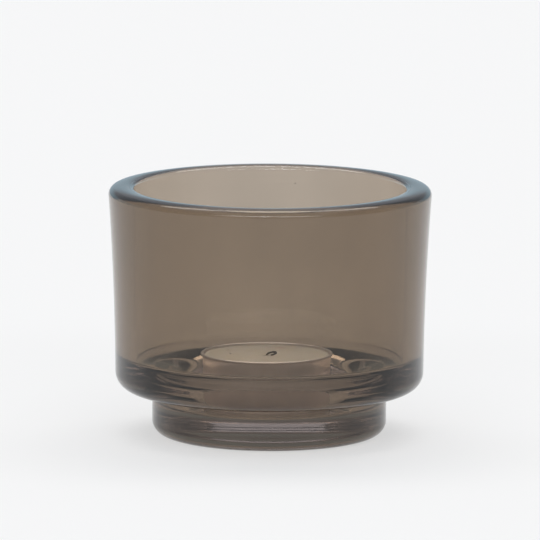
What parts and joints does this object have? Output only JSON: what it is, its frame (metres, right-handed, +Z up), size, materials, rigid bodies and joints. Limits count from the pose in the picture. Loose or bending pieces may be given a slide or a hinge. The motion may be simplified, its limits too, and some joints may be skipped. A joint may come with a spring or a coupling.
{
  "type": "glass candle holder",
  "caption": "Thick-walled pressed smoke-glass bowl on a stepped foot, with a tealight candle standing in the well in its base.",
  "frame": {"origin": "centre of the foot's footprint, on the surface that the holder stands on", "axes": "+Z up along the axis of the glass; -Y towards the viewer of the picture; the tealight stands 0.8 mm off the axis towards -X"},
  "size_m": [0.0942, 0.0942, 0.073],
  "materials": {
    "smoke_glass": "polished pressed glass with a brown-grey smoke tint",
    "cup_aluminium": "thin drawn sheet, satin",
    "candle_wax": "smooth off-white paraffin wax",
    "wick_cotton": "charred braided cotton",
    "sustainer_tin": "plain tinned sheet"
  },
  "bodies": {
    "holder": {"glass_holder": "smoke_glass"},
    "tealight": {"tealight_cup": "cup_aluminium"},
    "candle": {"candle_wax": "candle_wax", "candle_wick": "wick_cotton", "wick_sustainer": "sustainer_tin"}
  },
  "joints": [
    {"name": "tealight_lift", "type": "slide", "parent": "holder", "child": "tealight", "axis": [0, 0, 1], "range_m": [0, 0.08]},
    {"name": "candle_lift", "type": "slide", "parent": "tealight", "child": "candle", "axis": [0, 0, 1], "range_m": [0, 0.02]}
  ]
}
